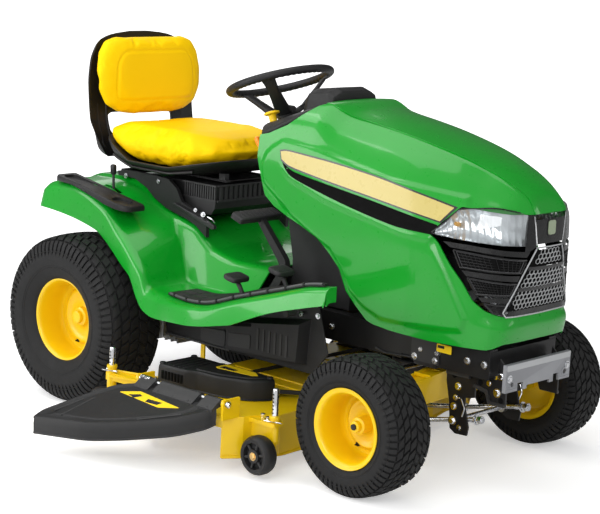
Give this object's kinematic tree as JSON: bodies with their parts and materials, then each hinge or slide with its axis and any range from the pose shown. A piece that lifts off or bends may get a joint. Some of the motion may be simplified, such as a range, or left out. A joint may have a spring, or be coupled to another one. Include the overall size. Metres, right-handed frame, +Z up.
{
  "type": "riding lawn mower",
  "caption": "Lawn tractor with tilting hood, high-back seat, steered front axle and a height-adjustable side-discharge mowing deck under the middle.",
  "frame": {"origin": "on the ground, below the middle of the overall length and width with the discharge chute included; the rear axle is 0.6025 m behind it and the machine's own centre plane is at y = +0.141 m", "axes": "+X forward, +Y to the operator's left, +Z up"},
  "size_m": [1.881, 1.486, 1.187],
  "materials": {
    "body_green": "glossy moulded body panels",
    "yellow_paint": "gloss paint on steel",
    "yellow_vinyl": "smooth vinyl seat cover",
    "yellow_knob": "moulded knob",
    "black_plastic": "grained moulded plastic",
    "gloss_black": "smooth black trim",
    "black_steel": "black powder coat",
    "grey_plate": "grey paint",
    "bare_steel": "zinc plated steel",
    "cast_alloy": "cast alloy",
    "engine_iron": "engine castings and cowling",
    "tyre_rubber": "turf tyre rubber",
    "mat_rubber": "ribbed rubber",
    "belt_rubber": "v-belt",
    "lamp_lens": "clear lens over a bright reflector"
  },
  "bodies": {
    "chassis": {"frame": "black_steel", "front_bracket": "black_steel", "bumper_plate": "grey_plate", "engine": "engine_iron", "muffler": "bare_steel", "transaxle": "cast_alloy", "fuel_tank": "black_plastic", "fender_deck": "body_green", "foot_mat_right": "mat_rubber", "foot_mat_left": "mat_rubber", "tray_right": "black_plastic", "side_shield_right": "black_plastic", "side_shield_left": "black_plastic", "pedestal": "black_plastic", "dash_panel": "black_plastic", "seat_base": "black_plastic"},
    "hood": {"hood": "body_green", "grille": "gloss_black", "headlamp_right": "lamp_lens", "headlamp_left": "lamp_lens"},
    "seat_slide": {"seat_bracket": "black_steel"},
    "seat": {"seat_pan": "black_plastic", "seat_cushion": "yellow_vinyl", "back_cushion": "yellow_vinyl"},
    "steering": {"steering_wheel": "black_plastic"},
    "axle": {"front_axle": "yellow_paint"},
    "spindle_right": {"spindle_right": "black_steel"},
    "spindle_left": {"spindle_left": "black_steel"},
    "tie_rod": {"tie_rod": "bare_steel"},
    "front_wheel_right": {"front_rim_right": "yellow_paint", "front_tyre_right": "tyre_rubber"},
    "front_wheel_left": {"front_rim_left": "yellow_paint", "front_tyre_left": "tyre_rubber"},
    "rear_wheel_right": {"rear_rim_right": "yellow_paint", "rear_tyre_right": "tyre_rubber"},
    "rear_wheel_left": {"rear_rim_left": "yellow_paint", "rear_tyre_left": "tyre_rubber"},
    "deck": {"deck_shell": "yellow_paint", "belt_cover_right": "black_plastic", "belt_cover_left": "black_plastic", "deck_belt": "belt_rubber"},
    "chute": {"chute": "black_plastic"},
    "gauge_front_right": {"gauge_wheel_front_right": "black_plastic"},
    "gauge_front_left": {"gauge_wheel_front_left": "black_plastic"},
    "gauge_rear_right": {"gauge_wheel_rear_right": "black_plastic"},
    "gauge_rear_left": {"gauge_wheel_rear_left": "black_plastic"},
    "blade_right": {"blade_spindle_right": "bare_steel"},
    "blade_left": {"blade_spindle_left": "bare_steel"},
    "blade_centre": {"blade_spindle_centre": "bare_steel"},
    "pto": {"pto_clutch": "engine_iron"},
    "draft": {"draft_rods": "bare_steel"},
    "lift": {"lift_shaft": "black_steel"},
    "lift_lever": {"lift_lever": "black_plastic"},
    "forward_pedal": {"forward_pedal": "black_plastic"},
    "reverse_pedal": {"reverse_pedal": "black_plastic"},
    "brake_pedal": {"brake_pedal": "black_plastic"},
    "pto_knob": {"pto_knob": "yellow_knob"},
    "key": {"key_switch": "black_plastic"},
    "throttle": {"throttle_lever": "yellow_knob"},
    "fuel_cap": {"fuel_cap": "black_plastic"}
  },
  "joints": [
    {"name": "rear_wheel_right_spin", "type": "hinge", "parent": "chassis", "child": "rear_wheel_right", "pos_m": [-0.6025, -0.2536, 0.276], "axis": [0, 1, 0], "continuous": true},
    {"name": "rear_wheel_left_spin", "type": "hinge", "parent": "chassis", "child": "rear_wheel_left", "pos_m": [-0.6025, 0.5356, 0.276], "axis": [0, 1, 0], "continuous": true},
    {"name": "axle_pivot", "type": "hinge", "parent": "chassis", "child": "axle", "pos_m": [0.6425, 0.141, 0.272], "axis": [1, 0, 0], "range_deg": [-6, 6]},
    {"name": "steer_right", "type": "hinge", "parent": "axle", "child": "spindle_right", "pos_m": [0.6425, -0.164, 0.2015], "axis": [0, 0, 1], "range_deg": [-30, 30]},
    {"name": "steer_left", "type": "hinge", "parent": "axle", "child": "spindle_left", "pos_m": [0.6425, 0.446, 0.2015], "axis": [0, 0, 1], "range_deg": [-31, 31]},
    {"name": "tie_rod_turn", "type": "hinge", "parent": "spindle_right", "child": "tie_rod", "pos_m": [0.5775, -0.144, 0.315], "axis": [0, 0, 1], "range_deg": [-31, 31]},
    {"name": "steering_wheel_turn", "type": "hinge", "parent": "chassis", "child": "steering", "pos_m": [-0.1375, 0.141, 1.0785], "axis": [-0.342, 0, 0.9397], "range_deg": [-125, 125]},
    {"name": "front_wheel_right_spin", "type": "hinge", "parent": "spindle_right", "child": "front_wheel_right", "pos_m": [0.6425, -0.2816, 0.2015], "axis": [0, 1, 0], "continuous": true},
    {"name": "front_wheel_left_spin", "type": "hinge", "parent": "spindle_left", "child": "front_wheel_left", "pos_m": [0.6425, 0.5636, 0.2015], "axis": [0, 1, 0], "continuous": true},
    {"name": "hood_hinge", "type": "hinge", "parent": "chassis", "child": "hood", "pos_m": [0.8975, 0.141, 0.411], "axis": [0, 1, 0], "range_deg": [0, 70]},
    {"name": "seat_slide", "type": "slide", "parent": "chassis", "child": "seat_slide", "axis": [1, 0, 0], "range_m": [-0.06, 0.03]},
    {"name": "seat_tilt", "type": "hinge", "parent": "seat_slide", "child": "seat", "pos_m": [-0.2705, 0.141, 0.762], "axis": [0, 1, 0], "range_deg": [0, 38]},
    {"name": "forward_pedal_press", "type": "hinge", "parent": "chassis", "child": "forward_pedal", "pos_m": [0.2955, -0.234, 0.452], "axis": [0, 1, 0], "range_deg": [-13, 13], "stiffness_Nm_per_rad": 25},
    {"name": "reverse_pedal_press", "type": "hinge", "parent": "chassis", "child": "reverse_pedal", "pos_m": [0.1655, -0.284, 0.424], "axis": [0, 1, 0], "range_deg": [-13.5, 13.5]},
    {"name": "brake_pedal_press", "type": "hinge", "parent": "chassis", "child": "brake_pedal", "pos_m": [0.0725, -0.103, 0.432], "axis": [0, 1, 0], "range_deg": [0, 15], "stiffness_Nm_per_rad": 10},
    {"name": "deck_lift", "type": "slide", "parent": "chassis", "child": "deck", "axis": [0, 0, 1], "range_m": [0, 0.06]},
    {"name": "draft_rods_swing", "type": "hinge", "parent": "chassis", "child": "draft", "pos_m": [0.7375, 0.141, 0.185], "axis": [0, 1, 0], "range_deg": [0, 12]},
    {"name": "lift_shaft_turn", "type": "hinge", "parent": "chassis", "child": "lift", "pos_m": [-0.2725, 0.141, 0.36], "axis": [0, 1, 0], "range_deg": [-30, 0.5]},
    {"name": "lift_lever_pull", "type": "hinge", "parent": "chassis", "child": "lift_lever", "pos_m": [-0.5945, -0.144, 0.612], "axis": [0, 1, 0], "range_deg": [-16, 0.5]},
    {"name": "chute_hinge", "type": "hinge", "parent": "deck", "child": "chute", "pos_m": [0.1035, -0.471, 0.214], "axis": [-1, 0, 0], "range_deg": [0, 75]},
    {"name": "gauge_wheel_front_right_spin", "type": "hinge", "parent": "deck", "child": "gauge_front_right", "pos_m": [0.3705, -0.412, 0.071], "axis": [0, 1, 0], "continuous": true},
    {"name": "gauge_wheel_front_left_spin", "type": "hinge", "parent": "deck", "child": "gauge_front_left", "pos_m": [0.3705, 0.694, 0.071], "axis": [0, 1, 0], "continuous": true},
    {"name": "gauge_wheel_rear_right_spin", "type": "hinge", "parent": "deck", "child": "gauge_rear_right", "pos_m": [-0.3025, -0.419, 0.071], "axis": [0, 1, 0], "continuous": true},
    {"name": "gauge_wheel_rear_left_spin", "type": "hinge", "parent": "deck", "child": "gauge_rear_left", "pos_m": [-0.3025, 0.701, 0.071], "axis": [0, 1, 0], "continuous": true},
    {"name": "pto_spin", "type": "hinge", "parent": "chassis", "child": "pto", "pos_m": [0.4875, 0.141, 0.285], "axis": [0, 0, 1], "continuous": true},
    {"name": "blade_centre_spin", "type": "hinge", "parent": "deck", "child": "blade_centre", "pos_m": [0.1625, 0.141, 0.06], "axis": [0, 0, 1], "continuous": true},
    {"name": "blade_right_spin", "type": "hinge", "parent": "deck", "child": "blade_right", "pos_m": [0.0475, -0.239, 0.06], "axis": [0, 0, 1], "continuous": true},
    {"name": "blade_left_spin", "type": "hinge", "parent": "deck", "child": "blade_left", "pos_m": [0.0475, 0.521, 0.06], "axis": [0, 0, 1], "continuous": true},
    {"name": "pto_knob_pull", "type": "slide", "parent": "chassis", "child": "pto_knob", "axis": [-0.342, 0, 0.9397], "range_m": [0, 0.015]},
    {"name": "key_turn", "type": "hinge", "parent": "chassis", "child": "key", "pos_m": [0.0095, 0.261, 0.98167], "axis": [-0.342, 0, 0.9397], "range_deg": [-90, 0]},
    {"name": "throttle_turn", "type": "hinge", "parent": "chassis", "child": "throttle", "pos_m": [0.0035, -0.045, 0.872], "axis": [0, 1, 0], "range_deg": [-12, 12]},
    {"name": "fuel_cap_turn", "type": "hinge", "parent": "chassis", "child": "fuel_cap", "pos_m": [-0.7225, 0.403, 0.73], "axis": [0, 0, 1], "continuous": true}
  ],
  "couplings": [
    {"joint": "steer_left", "follows": "steer_right", "ratio": 1},
    {"joint": "tie_rod_turn", "follows": "steer_right", "ratio": -1},
    {"joint": "steering_wheel_turn", "follows": "steer_right", "ratio": 4},
    {"joint": "reverse_pedal_press", "follows": "forward_pedal_press", "ratio": -1},
    {"joint": "draft_rods_swing", "follows": "deck_lift", "rad_per_m": 3},
    {"joint": "lift_shaft_turn", "follows": "deck_lift", "rad_per_m": -8.4},
    {"joint": "lift_lever_pull", "follows": "deck_lift", "rad_per_m": -4.4},
    {"joint": "blade_right_spin", "follows": "blade_centre_spin", "ratio": 1},
    {"joint": "blade_left_spin", "follows": "blade_centre_spin", "ratio": 1},
    {"joint": "pto_spin", "follows": "blade_centre_spin", "ratio": 1.06}
  ]
}
